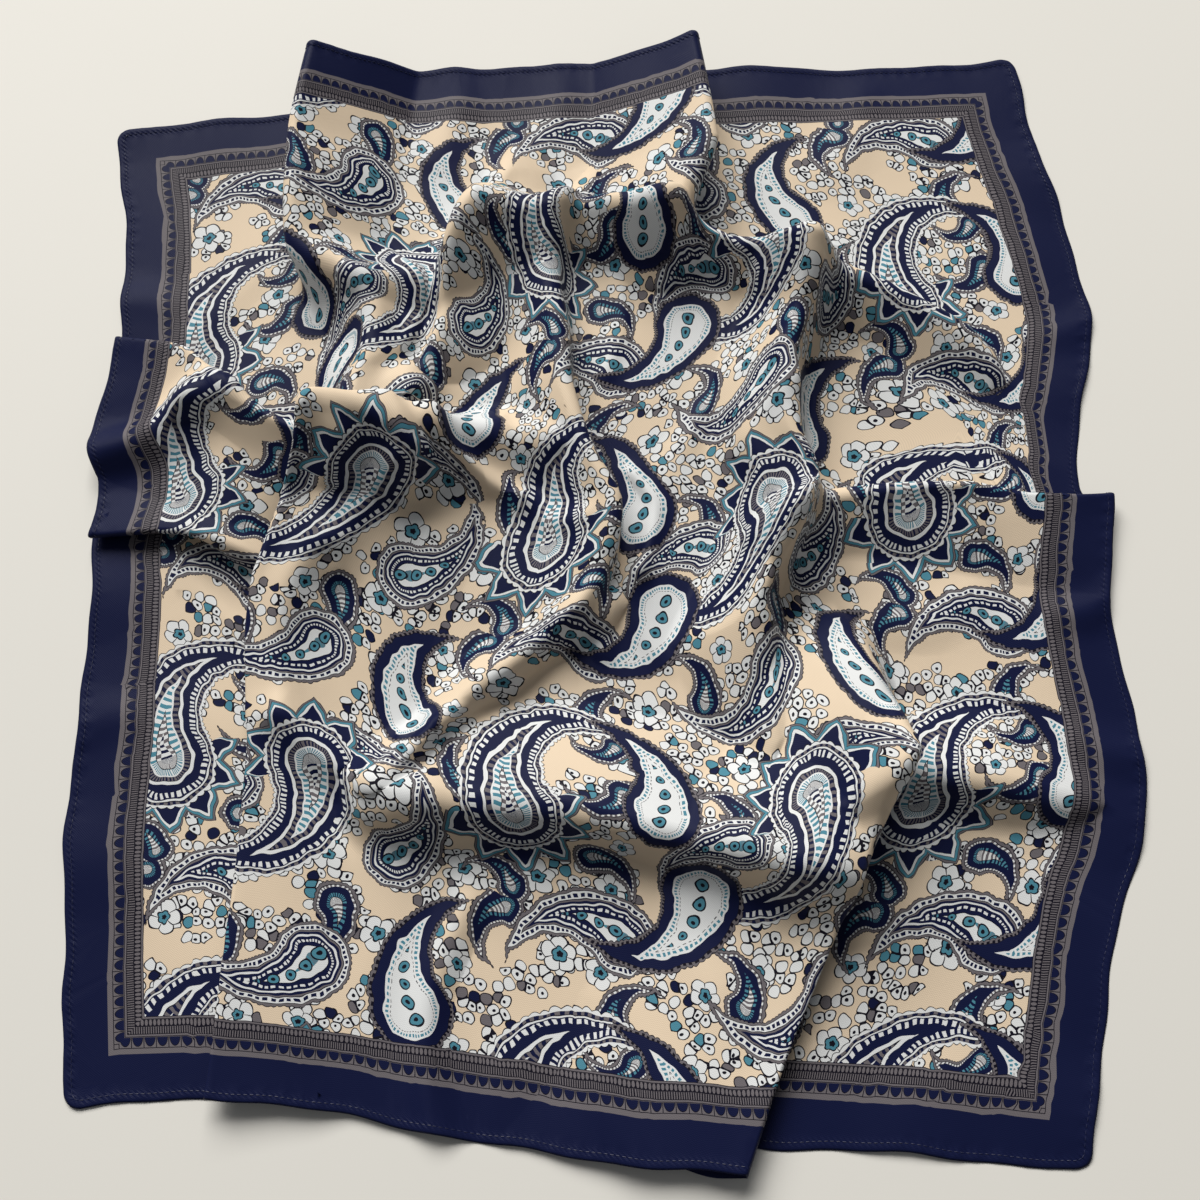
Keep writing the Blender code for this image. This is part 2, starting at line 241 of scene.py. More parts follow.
# Each kind of paisley: radius of its head, length of its axis from the head's centre to the
# tip, radius of the arc that the axis bends along, height and pitch of its scallops, pitch
# of its dashes and the share that they fill, and its rings from the outline inwards (depth,
# colour, and the colour on the dashes where it is another).
PAISLEYS = {
    "crescent": dict(
        radius=30, length=152, bend=54, scallop=(1.5, 5.2), dash=(4.2, 0.5),
        rings=(
            (0.0, WHITE), (1.2, GREY, NAVY), (2.9, INK), (3.3, WHITE), (4.3, NAVY),
            (5.0, NAVY, WHITE), (8.2, NAVY), (12.8, WHITE), (15.0, INK), (15.4, NAVY, GREY),
            (18.6, WHITE), (19.6, TEAL, WHITE), (23.4, INK), (23.9, WHITE, GREY),
            (26.5, NAVY, WHITE))),
    "lined": dict(
        radius=23.5, length=92, bend=47, scallop=(0.7, 3.2), dash=(3.8, 0.6),
        rings=(
            (0.0, GREY), (1.4, INK), (1.8, WHITE), (2.7, WHITE, NAVY), (4.6, WHITE),
            (5.3, INK), (5.7, GREY), (6.6, NAVY), (8.0, WHITE), (9.2, NAVY),
            (11.0, NAVY, WHITE), (12.4, NAVY), (14.6, INK), (15.0, WHITE),
            (19.6, GREY, TEAL))),
    "bold": dict(
        radius=25, length=92, bend=48, scallop=(0.9, 3.2), dash=(3.2, 0.55),
        rings=(
            (0.0, GREY), (0.7, GREY, INK), (2.0, INK), (2.3, NAVY), (7.8, WHITE),
            (9.1, WHITE, TEAL), (10.9, WHITE), (12.0, WHITE, INK), (12.4, WHITE))),
    "small": dict(
        radius=12, length=48, bend=20, scallop=(0.6, 2.9), dash=(2.6, 0.5),
        rings=(
            (0.0, GREY), (1.5, INK), (1.9, WHITE, GREY), (3.0, NAVY), (6.6, NAVY, TEAL),
            (8.4, INK), (8.8, GREY, WHITE))),
}
# Where they stand in one repeat: kind, x and y of the middle, turn in degrees, size, side
PAISLEY_PLACES = (
    ("crescent", 66, 52, 24, 1.00, 1), ("crescent", 226, 160, 196, 0.94, 1),
    ("bold", 148, 44, -24, 0.94, -1), ("bold", 148, 124, 168, 1.00, 1),
    ("bold", 300, 100, 28, 0.96, 1), ("lined", 4, 180, -64, 0.86, -1),
    ("lined", 214, 72, 142, 0.98, 1), ("lined", 86, 134, 52, 0.94, -1),
    ("lined", 274, 28, -38, 0.90, 1), ("lined", 74, 196, -112, 0.84, 1),
    ("lined", 164, 190, 76, 0.82, -1),
    ("small", 116, 88, 18, 1.05, 1), ("small", 192, 108, -34, 1.00, -1),
    ("small", 256, 106, 206, 1.10, 1), ("small", 34, 122, 100, 1.00, -1),
    ("small", 112, 8, 160, 1.00, 1), ("small", 192, 16, -20, 0.95, -1),
    ("small", 20, 22, 64, 1.00, 1), ("small", 120, 166, -80, 0.95, 1),
    ("small", 44, 158, 12, 0.85, -1), ("small", 113, 47, 150, 0.80, 1),
)
# The crown of pointed petals behind a crescent's head: reach of its valleys and tips beyond
# the head's radius, angle of one petal, and how far round the head it goes
CROWN_VALLEY, CROWN_TIP, CROWN_PETAL, CROWN_END = 1.16, 1.62, 0.62, 1.75
CROWN_RINGS = (
    (0.0, INK), (0.5, GREY), (1.8, INK), (2.2, TEAL), (4.4, INK), (4.8, WHITE), (7.0, NAVY))
# Buds along the axis of a paisley: pitch, radius at the head's centre and how it shrinks
# towards the tip, how deep in the paisley they start as a share of the head's radius, and
# where a bud's outline starts and its eye ends
BUD_PITCH, BUD_RADIUS, BUD_TAPER, BUD_ROOM = 11.0, 4.6, 0.045, 0.56
BUD_OUTLINE, BUD_EYE = 0.62, 0.10
FLOWER_CELL, FLOWER_RADIUS, FLOWER_PETALS = 46.0, 12.5, 5
FLOWER_RINGS = ((0.0, INK), (0.16, TEAL), (0.35, INK), (0.43, WHITE), (0.92, INK))
# Heaps of small petals: their pitch and how much ground stays bare. In pitches: a petal's
# radius, where its outline starts, the line between two petals and the radius of a dark dot
BLOSSOM_CELL, BLOSSOM_BARE, PETAL_RADIUS, PETAL_OUTLINE = 7.0, 0.445, 0.54, 0.45
PETAL_GAP, PETAL_DOT = 0.15, 0.14
PETAL_TINTS = (
    (0.0, WHITE), (0.66, TEAL), (0.73, GREY), (0.80, NAVY), (0.86, WHITE))
PRINT_SHRINK = 1.16  # how much smaller than the sizes above the field's print is laid


# ======== the cloth's form
def smooth_column(stations, values, at):
    """A smooth curve through a table's column that doesn't overshoot it, read at `at`."""
    order = np.argsort(stations)
    x = np.asarray(stations, float)[order]
    y = np.asarray(values, float)[order]
    step = np.diff(x)
    slope = np.diff(y) / step
    tangent = np.zeros(len(x))
    same_way = slope[:-1] * slope[1:] > 0
    inner = np.zeros(len(slope) - 1)
    inner[same_way] = 2 / (1 / slope[:-1][same_way] + 1 / slope[1:][same_way])
    tangent[1:-1] = inner
    tangent[0] = slope[0]
    tangent[-1] = slope[-1]
    at = np.clip(at, x[0], x[-1])
    i = np.clip(np.searchsorted(x, at, side="right") - 1, 0, len(step) - 1)
    t = (at - x[i]) / step[i]
    rise = y[i + 1] - y[i]
    a = step[i] * tangent[i] - rise
    b = rise - step[i] * tangent[i + 1]
    return y[i] + rise * t + t * (1 - t) * (a * (1 - t) + b * t)


def hem_line(table, column, flat):
    """One of a hem table's columns read at the stations `flat`, in metres."""
    stations = next(iter(table.values()))
    return smooth_column(np.array(stations) / 1000, np.array(table[column]) / 1000, flat)


def fold_at(rows, at):
    """A fold's crest, take-up, steep angle, long side's angle and bend at a station."""
    table = np.array(rows, float) / (1000, 1000, 1000, 1, 1, 10000)
    return [float(smooth_column(table[:, 0], column, at)) for column in table[:, 1:].T]


def fold_section(take_up, steep, ease, bend):
    """The section of one fold, from its steep side: distance along the cloth, take-up so far
    and height, with the distance measured from the crest."""
    toe = TOE_ROUND
    fixed_rise = bend * (1 - math.cos(steep)) + bend * (math.cos(ease) - math.cos(steep))

    def parts(scale):
        """Lengths of the two straight sides for bends of this scale, and what the bends
        and the long side take up."""
        drop = toe * scale * (1 - math.cos(ease))
        base = (fixed_rise * scale - drop) / math.sin(ease)
        bends = bend * scale * (steep - math.sin(steep))
        bends += bend * scale * (steep + ease - math.sin(steep) - math.sin(ease))
        bends += toe * scale * (ease - math.sin(ease))
        bends += base * (1 - math.cos(ease))
        return base, bends

    base, used = parts(1.0)
    scale = 1.0
    if used > take_up:
        scale = take_up / used
        base, used = parts(scale)
    per_length = 1 - math.cos(steep) + math.sin(steep) * math.tan(ease / 2)
    rise_length = max(0.0, take_up - used) / per_length
    fall_length = max(0.0, base + rise_length * math.sin(steep) / math.sin(ease))

    runs = (
        (bend * scale * steep, 0.0, steep),
        (rise_length, steep, steep),
        (bend * scale * steep, steep, 0.0),
        (bend * scale * ease, 0.0, -ease),
        (fall_length, -ease, -ease),
        (toe * scale * ease, -ease, 0.0),
    )
    lengths, angles = [], []
    for length, start, end in runs:
        lengths += [length / STEPS] * STEPS
        share = (np.arange(STEPS) + 0.5) / STEPS
        angles += list(start + (end - start) * share)
    lengths = np.array(lengths)
    angles = np.array(angles)
    along = np.concatenate(([0.0], np.cumsum(lengths)))
    taken = np.concatenate(([0.0], np.cumsum(lengths * (1 - np.cos(angles)))))
    height = np.concatenate(([0.0], np.cumsum(lengths * np.sin(angles))))
    height -= height[-1] * along / along[-1]
    crest = 3 * STEPS
    return along - along[crest], taken, height


def line_of_cloth(at, ends, folds, flat):
    """One line of the cloth across its folds: places on the table and heights of the points
    `flat`. `at` is the line's station and `ends` are the places of its two ends."""
    start, end = ends
    rows = sorted([*fold_at(table, at), lean] for lean, table in folds.values())
    rows = [row for row in rows if row[1] > LEAST_TAKE_UP]
    needed = CUT - (end - start)
    total = sum(row[1] for row in rows)
    spare = min(max(needed / total, LEAST_SPARE), MOST_SPARE)
    place = start + (flat + HALF)
    height = np.zeros_like(flat)
    before = 0.0
    for crest, take_up, steep, ease, bend, lean in rows:
        take_up *= spare
        along, taken, rise = fold_section(
            take_up, math.radians(steep), math.radians(ease), bend)
        if lean > 0:
            along, taken, rise = -along[::-1], taken[-1] - taken[::-1], rise[::-1]
        whole = taken[-1]
        at_crest = float(np.interp(0.0, along, taken))
        middle = crest - start - HALF + before + at_crest
        place -= np.interp(flat - middle, along, taken)
        height += np.interp(flat - middle, along, rise)
        before += whole
    place += (end - place[-1]) * (flat + HALF) / CUT
    return place, height


def cloth_points(cells, lift):
    """The middle surface of the cloth as a grid of points, a row for each v, raised by lift
    off the table, and the shift that puts the CAD model's box at the origin."""
    flat = np.linspace(-HALF, HALF, cells + 1)
    points = np.zeros((cells + 1, cells + 1, 3))
    left, right = (hem_line(SIDE_HEMS, side, flat) for side in ("left_x", "right_x"))
    front, back = (hem_line(END_HEMS, side, flat) for side in ("front_y", "back_y"))
    for j, v in enumerate(flat):
        x, rise = line_of_cloth(v, (left[j], right[j]), COLUMN_FOLDS, flat)
        points[j, :, 0] = x
        points[j, :, 2] += rise
    for i, u in enumerate(flat):
        y, rise = line_of_cloth(u, (front[i], back[i]), ROW_FOLDS, flat)
        points[:, i, 1] = y
        points[:, i, 2] += rise
    low = points.reshape(-1, 3).min(axis=0)
    high = points.reshape(-1, 3).max(axis=0)
    shift = -(low + high) / 2
    points[:, :, :2] += shift[:2]
    points[:, :, 2] += lift
    return points, (shift[0], shift[1])


def surface_normals(points):
    """Unit normals of a grid of points, facing up where the cloth lies face up."""
    along = np.gradient(points, axis=1)
    across = np.gradient(points, axis=0)
    normal = np.cross(along, across)
    return normal / np.linalg.norm(normal, axis=2, keepdims=True)


def crease_heights(u, v, strength):
    """Height of the soft creases at (u, v) of the flat cloth, in metres."""
    height = np.zeros_like(u)
    for u0, v0, u1, v1, tall, wide in CREASES:
        start = np.array((u0, v0)) / 1000
        run = np.array((u1 - u0, v1 - v0)) / 1000
        length = math.hypot(*run)
        t = ((u - start[0]) * run[0] + (v - start[1]) * run[1]) / length ** 2
        aside = ((u - start[0]) * run[1] - (v - start[1]) * run[0]) / length
        bow = 0.10 * length * np.sin(np.clip(t, 0, 1) * math.pi)
        past = np.clip(np.abs(t - 0.5) - 0.5, 0, None) * length
        fade = np.cos(np.clip((t - 0.5) * 0.8, -1, 1) * math.pi / 2)
        reach = ((aside - bow) ** 2 + past ** 2) / (wide / 1000) ** 2
        height += strength * tall / 1000 * fade * np.exp(-reach)
    return height


def summed(waves, u, v):
    """The sum of a table's waves at (u, v) of the flat cloth."""
    return sum(share * np.sin(p * u + q * v + phase) for p, q, phase, share in waves)


def soft_unevenness(u, v, height):
    """Slow, irregular swelling of the loose cloth, in metres."""
    return height * summed(LOOSE_WAVES, u, v) / sum(share for *_, share in LOOSE_WAVES)


def hem_profile(u, v, sizes):
    """Extra height of the turned hem and its stitched puckers, in metres."""
    inset = HALF - np.maximum(np.abs(u), np.abs(v))
    along = np.where(np.abs(u) > np.abs(v), v, u)
    width = sizes.hem_width
    rounded = np.clip(1 - np.abs(inset / width * 2 - 1) ** 4, 0, 1)
    pucker = np.sin(along * 2 * math.pi / sizes.pucker_pitch + 1.3 * np.sin(along * 90))
    near = np.exp(-((inset - width) / (0.9 * width)) ** 2)
    uneven = 0.6 + 0.4 * np.sin(along * 41 + 2)
    return sizes.hem_height * rounded + sizes.pucker_height * pucker * near * uneven


def hem_wander(u, v, far, rise):
    """Small moves of the cloth near its hems, which never lie quite straight or flat."""
    near_side = np.exp(-((HALF - np.abs(u)) / HEM_REACH) ** 2)
    near_end = np.exp(-((HALF - np.abs(v)) / HEM_REACH) ** 2)
    lift = near_side * np.clip(summed(SIDE_HEM_LIFT, u, v), 0, 1) ** 2
    lift += near_end * np.clip(summed(END_HEM_LIFT, u, v), 0, 1) ** 2
    return np.stack((
        far * near_side * summed(SIDE_HEM_WAVES, u, v),
        far * near_end * summed(END_HEM_WAVES, u, v), rise * lift), -1)


def corner_moves(points, u, v):
    """Moves that round the square's corners, within the cloth's own surface."""
    over_u = np.clip(np.abs(u) - (HALF - CORNER), 0, None)
    over_v = np.clip(np.abs(v) - (HALF - CORNER), 0, None)
    reach = np.maximum(np.hypot(over_u, over_v), 1e-9)
    shrink = np.where(
        np.minimum(over_u, over_v) > 0, np.maximum(over_u, over_v) / reach - 1, 0)
    cell = CUT / (points.shape[0] - 1)
    along_u = np.gradient(points, axis=1) / cell
    along_v = np.gradient(points, axis=0) / cell
    moves = along_u * (over_u * np.sign(u) * shrink)[:, :, None]
    return moves + along_v * (over_v * np.sign(v) * shrink)[:, :, None]


def shaped_points(sizes, cells):
    """The visible cloth's grid: the folds, with hem, creases and unevenness along its normals."""
    points, shift = cloth_points(cells, sizes.thickness / 2)
    flat = np.linspace(-HALF, HALF, cells + 1)
    u, v = np.meshgrid(flat, flat)
    normal = surface_normals(points)
    inset = HALF - np.maximum(np.abs(u), np.abs(v))
    inner = np.clip(inset / 0.05, 0, 1)
    extra = crease_heights(u, v, sizes.crease_strength)
    extra += inner * soft_unevenness(u, v, sizes.unevenness)
    # Hidden layers keep to the folds' own form, so that no layer is pushed through another.
    face_up = np.clip((normal[:, :, 2] - 0.1) / 0.4, 0, 1)
    extra = extra * face_up + hem_profile(u, v, sizes) * face_up
    points = points + corner_moves(points, u, v) + normal * extra[:, :, None]
    points += hem_wander(u, v, sizes.hem_wander, sizes.hem_lift) * face_up[:, :, None]
    points[:, :, 2] = np.maximum(points[:, :, 2], sizes.thickness / 2)
    return points, shift, normal


def read_surface(points, u, v):
    """Places on a grid of points at (u, v) of the flat cloth, between its corners."""
    cells = points.shape[0] - 1
    x = np.clip((np.asarray(u) + HALF) / CUT * cells, 0, cells - 1e-6)
    y = np.clip((np.asarray(v) + HALF) / CUT * cells, 0, cells - 1e-6)
    i, j = x.astype(int), y.astype(int)
    s, t = (x - i)[:, None], (y - j)[:, None]
    near = points[j, i] * (1 - s) + points[j, i + 1] * s
    far = points[j + 1, i] * (1 - s) + points[j + 1, i + 1] * s
    return near * (1 - t) + far * t


def grid_mesh(name, points):
    """A mesh of quads on a grid of points, face up, with a map of the flat cloth."""
    rows, columns = points.shape[:2]
    number = np.arange(rows * columns).reshape(rows, columns)
    faces = np.stack(
        (number[:-1, :-1], number[:-1, 1:], number[1:, 1:], number[1:, :-1]), axis=-1)
    mesh = bpy.data.meshes.new(name)
    mesh.from_pydata(points.reshape(-1, 3).tolist(), [], faces.reshape(-1, 4).tolist())
    corner = np.zeros(len(mesh.loops), dtype=np.int64)
    mesh.loops.foreach_get("vertex_index", corner)
    places = np.stack((corner % columns / (columns - 1), corner // columns / (rows - 1)), 1)
    layer = mesh.uv_layers.new(name=FLAT_MAP)
    layer.uv.foreach_set("vector", places.astype(np.float32).ravel())
    mesh.shade_smooth()
    return mesh


def linked(name, data):
    """A new object in the scene for a mesh, a light or a camera."""
    thing = bpy.data.objects.new(name, data)
    bpy.context.collection.objects.link(thing)
    return thing


def made_plain(piece):
    """The piece with its modifiers worked in, as a plain mesh at the origin."""
    graph = bpy.context.evaluated_depsgraph_get()
    mesh = bpy.data.meshes.new_from_object(piece.evaluated_get(graph))
    piece.modifiers.clear()
    piece.data = mesh
    return piece


# ======== materials
def math_operator(operation):
    """A method for Number that adds a Math node of this operation."""
    return lambda self, *others: self.tree.math(operation, self, *others)


class Number:
    """One number's socket in a node tree. Its operators add Math nodes."""

    def __init__(self, tree, socket):
        self.tree = tree
        self.socket = socket

    __add__ = __radd__ = math_operator("ADD")
    __mul__ = __rmul__ = math_operator("MULTIPLY")
    __sub__ = math_operator("SUBTRACT")
    __truediv__ = math_operator("DIVIDE")
    __abs__ = math_operator("ABSOLUTE")
    __gt__ = math_operator("GREATER_THAN")
    __lt__ = math_operator("LESS_THAN")

    def __rsub__(self, other):
        return self.tree.math("SUBTRACT", other, self)

    def __neg__(self):
        return self * -1


class NodeTree:
    """A node tree under construction."""

    def __init__(self, tree):
        self.nodes = tree.nodes
        self.links = tree.links

    def node(self, kind, settings=None, values=None):
        """Adds a node: its settings first, then the values or links of its sockets."""
        made = self.nodes.new(kind)
        for name, setting in (settings or {}).items():
            if name == "stops":
                self._set_stops(made.color_ramp, setting)
            else:
                setattr(made, name, setting)
        for key, value in (values or {}).items():
            self.put(made.inputs[key], value)
        return made

    @staticmethod
    def _set_stops(ramp, stops):
        ramp.interpolation = "CONSTANT"
        ramp.elements[0].position = stops[0][0]
        ramp.elements[0].color = (*stops[0][1], 1)
        ramp.elements.remove(ramp.elements[1])
        for place, colour in stops[1:]:
            ramp.elements.new(place).color = (*colour, 1)

    def put(self, socket, value):
        if isinstance(value, Number):
            value = value.socket
        if isinstance(value, bpy.types.NodeSocket):
            self.links.new(value, socket)
        elif isinstance(value, tuple) and len(value) == 3 and socket.type == "RGBA":
            socket.default_value = (*value, 1)
        else:
            socket.default_value = value

    def math(self, operation, *values):
        made = self.node("ShaderNodeMath", {"operation": operation}, dict(enumerate(values)))
        return Number(self, made.outputs[0])

    def vector(self, operation, *values):
        made = self.node(
            "ShaderNodeVectorMath", {"operation": operation}, dict(enumerate(values)))
        return made.outputs[0]

    def length(self, vector):
        made = self.node("ShaderNodeVectorMath", {"operation": "LENGTH"}, {0: vector})
        return Number(self, made.outputs["Value"])

    def split(self, vector):
        made = self.node("ShaderNodeSeparateXYZ", values={0: vector})
        return tuple(Number(self, made.outputs[k]) for k in range(3))

    def joined(self, x, y, z):
        return self.node("ShaderNodeCombineXYZ", values={0: x, 1: y, 2: z}).outputs[0]

    def shaded(self, colour, shade):
        """The colour, lighter or darker by the number."""
        return self.vector("MULTIPLY", colour, self.joined(shade, shade, shade))

    def noise(self, place, scale, detail=0.0):
        """A flat noise texture's outputs."""
        return self.node("ShaderNodeTexNoise", {"noise_dimensions": "2D"}, {
            "Vector": place, "Scale": scale, "Detail": detail}).outputs

    def cells(self, place, pitch, randomness, feature="F1"):
        """The outputs of scattered points at this pitch."""
        settings = {"voronoi_dimensions": "2D", "feature": feature}
        return self.node("ShaderNodeTexVoronoi", settings, {
            "Vector": place, "Scale": 1 / pitch, "Randomness": randomness}).outputs

    def ramp(self, number, stops):
        made = self.node("ShaderNodeValToRGB", {"stops": stops}, {0: number})
        return made.outputs["Color"]

    def choose(self, share, first, second, kind="RGBA"):
        """first where share is 0 and second where it is 1."""
        sockets = {"RGBA": (6, 7, 2), "FLOAT": (2, 3, 0), "VECTOR": (4, 5, 1)}[kind]
        made = self.node("ShaderNodeMix", {"data_type": kind},
                         {0: share, sockets[0]: first, sockets[1]: second})
        output = made.outputs[sockets[2]]
        return Number(self, output) if kind == "FLOAT" else output


class Material(NodeTree):
    """A node material under construction."""

    def __init__(self, name):
        self.material = bpy.data.materials.new(name)
        self.material.use_nodes = True
        super().__init__(self.material.node_tree)
        self.shader = self.nodes["Principled BSDF"]


def axis_middle(shape):
    """About the middle of a paisley, from its head's centre."""
    half_turn = shape["length"] / shape["bend"] * 0.4
    return (shape["bend"] * (1 - math.cos(half_turn)), shape["bend"] * math.sin(half_turn))


def nearest_paisley(made, place, kind):
    """Coordinates in mm in the nearest paisley of this kind: its head's centre is the
    origin, and its axis starts up the second axis."""
    best = nearest = None
    for name, x, y, turn, size, side in PAISLEY_PLACES:
        if name != kind:
            continue
        high = (x + REPEAT[0] / 2, y + REPEAT[1] / 2, 1.0)
        low = (x - REPEAT[0] / 2, y - REPEAT[1] / 2, -1.0)
        mapped = made.node("ShaderNodeMapping", {"vector_type": "TEXTURE"}, {
            "Vector": made.vector("WRAP", place, high, low), "Location": (x, y, 0.0),
            "Rotation": (0.0, 0.0, math.radians(turn)), "Scale": (side * size, size, 1.0)})
        local = mapped.outputs[0]
        gap = made.length(local)
        if best is None:
            best, nearest = local, gap
        else:
            best = made.choose(gap < nearest, best, local, "VECTOR")
            nearest = made.math("MINIMUM", nearest, gap)
    return made.vector("ADD", best, (*axis_middle(PAISLEYS[kind]), 0.0))


def bent_teardrop(made, local, shape):
    """A teardrop whose axis bends along an arc: the depth of a point inside it, its distance
    round the outline, its place along the axis, and its distance and angle at the head."""
    radius, bend = shape["radius"], shape["bend"]
    slope = radius / shape["length"]
    level = math.sqrt(1 - slope * slope)
    x, y, _ = made.split(local)
    inward = bend - x
    past_head = y > 0.0
    arc_aside = bend - made.math("SQRT", inward * inward + y * y)
    arc_along = made.math("ARCTAN2", y, inward) * bend
    aside = abs(made.choose(past_head, x, arc_aside, "FLOAT"))
    along = made.choose(past_head, y, arc_along, "FLOAT")
    beyond = along * level - aside * slope
    head = made.math("SQRT", aside * aside + along * along)
    in_taper = beyond > 0.0
    reach = made.choose(in_taper, head, aside * level + along * slope, "FLOAT")
    angle = made.math("ARCTAN2", aside, -along)
    head_end = radius * (math.pi / 2 + math.asin(slope))
    outline = made.choose(in_taper, angle * radius, beyond + head_end, "FLOAT")
    return radius - reach, outline, (aside, along), (head, angle)


def wave(made, along, pitch):
    return made.math("SINE", along * (2 * math.pi / pitch))


def within(number, low, high):
    return (number > low) * (number < high)


def ringed(made, depth, dashed, rings, deepest):
    """The colour of rings at this depth."""
    share = depth / deepest
    between = made.ramp(share, [(start / deepest, tints[0]) for start, *tints in rings])
    on_dash = made.ramp(share, [(start / deepest, tints[-1]) for start, *tints in rings])
    return made.choose(dashed, between, on_dash)


def print_paisleys(made, colour, place, kind):
    """Lays all paisleys of one kind over the colour."""
    shape = PAISLEYS[kind]
    local = nearest_paisley(made, place, kind)
    depth, outline, (aside, along), (head, angle) = bent_teardrop(made, local, shape)
    if kind == "crescent":
        petal = made.math("PINGPONG", angle, CROWN_PETAL / 2) / (CROWN_PETAL / 2)
        rim = (petal * (CROWN_TIP - CROWN_VALLEY) + CROWN_VALLEY) * shape["radius"]
        inside = (rim - head) * (angle < CROWN_END)
        crown = ringed(made, inside, 0.0, CROWN_RINGS, 20.0)
        colour = made.choose(inside > 0.0, colour, crown)
    height, pitch = shape["scallop"]
    edge = abs(wave(made, outline, pitch * 2)) * height + depth
    dash_pitch, fill = shape["dash"]
    dashed = wave(made, outline, dash_pitch) > math.cos(math.pi * fill)
    inside = ringed(made, depth, dashed, shape["rings"], shape["radius"])
    if kind in ("bold", "lined"):
        bud = made.math("PINGPONG", along + BUD_PITCH, BUD_PITCH / 2) - BUD_PITCH / 2
        size = along * -BUD_TAPER + BUD_RADIUS
        reach = (aside * aside * 1.2 + bud * bud) / (size * size)
        open_part = (depth > shape["radius"] * BUD_ROOM) * (along > -BUD_PITCH)
        bud_colour = made.choose(reach < BUD_OUTLINE, INK, TEAL)
        bud_colour = made.choose(reach < BUD_EYE, bud_colour, INK)
        inside = made.choose(open_part * (reach < 1.0), inside, bud_colour)
    inside = made.choose(edge < 0.5, inside, INK)
    return made.choose(edge > 0.0, colour, inside)


def print_flowers(made, colour, place):
    """Lays scattered flowers over the colour: a dark eye, a teal heart and white petals."""
    dots = made.cells(place, FLOWER_CELL, 0.55)
    local = made.vector("SUBTRACT", place, dots["Position"])
    x, y, _ = made.split(local)
    turn, small, _ = made.split(dots["Color"])
    around = made.math("ARCTAN2", y, x) * (FLOWER_PETALS / 2)
    lobe = abs(made.math("COSINE", around + turn * 6.3))
    radius = (lobe * 0.26 + 0.78) * (small * 0.35 + 0.65)
    reach = made.length(local) / (radius * FLOWER_RADIUS)
    petal = made.ramp(reach, FLOWER_RINGS)
    parting = (lobe < 0.13) * (reach > 0.42)
    petal = made.choose(parting, petal, INK)
    return made.choose(reach < 1.0, colour, petal)


def print_blossom(made, colour, place):
    """Lays loose heaps of small outlined petals over the colour, whole petals only."""
    dots = made.cells(place, BLOSSOM_CELL, 0.78)
    seconds = made.cells(place, BLOSSOM_CELL, 0.78, "F2")
    shown = Number(made, made.noise(dots["Position"], 0.030)["Fac"]) > BLOSSOM_BARE
    tint = made.split(dots["Color"])[0]
    petal = made.ramp(tint, PETAL_TINTS)
    far = Number(made, dots["Distance"])
    gap = Number(made, seconds["Distance"]) - far
    line = made.math("MAXIMUM", gap < PETAL_GAP, far > PETAL_OUTLINE)
    dot = (far < PETAL_DOT) * (tint < 0.50)
    petal = made.choose(made.math("MAXIMUM", line, dot), petal, INK)
    return made.choose(shown * (far < PETAL_RADIUS), colour, petal)


def print_border(made, place_mm):
    """The navy edge and its bands, and how far each point lies from the hem."""
    x, y, _ = made.split(place_mm)
    from_side = made.math("MINIMUM", x, SIDE_MM - x)
    from_end = made.math("MINIMUM", y, SIDE_MM - y)
    inset = made.math("MINIMUM", from_side, from_end)
    along = made.choose(from_side < from_end, x, y, "FLOAT")
    span = FIELD_EDGE * 1.25
    colour = made.ramp(inset / span, [(start / span, c) for start, c in BORDER_BANDS])

    arch = made.math("WRAP", along, ARCH_PITCH / 2, -ARCH_PITCH / 2)
    drop = (inset - ARCH_FOOT) / ARCH_HEIGHT
    dome = (arch / ARCH_WIDTH) * (arch / ARCH_WIDTH) + drop * drop
    in_row = within(inset, ARCH_TOP, ARCH_FOOT)
    colour = made.choose(in_row * (dome < ARCH_RIM), colour, INK)
    colour = made.choose(in_row * (dome < ARCH_FILL), colour, NAVY)
    colour = made.choose(in_row * (abs(arch) > ARCH_PITCH / 2 - ARCH_GAP), colour, INK)

    rungs = wave(made, along, RUNG_PITCH) > -0.1
    colour = made.choose(within(inset, RUNG_START, RUNG_END) * rungs, colour, INK)
    bead = made.math("WRAP", along, BEAD_PITCH / 2, -BEAD_PITCH / 2)
    middle = (inset - (BEAD_START + BEAD_END) / 2) / BEAD_LENGTH
    gap = (bead / BEAD_WIDTH) * (bead / BEAD_WIDTH) + middle * middle > 1.0
    colour = made.choose(within(inset, BEAD_START, BEAD_END) * gap, colour, INK)
    return colour, inset


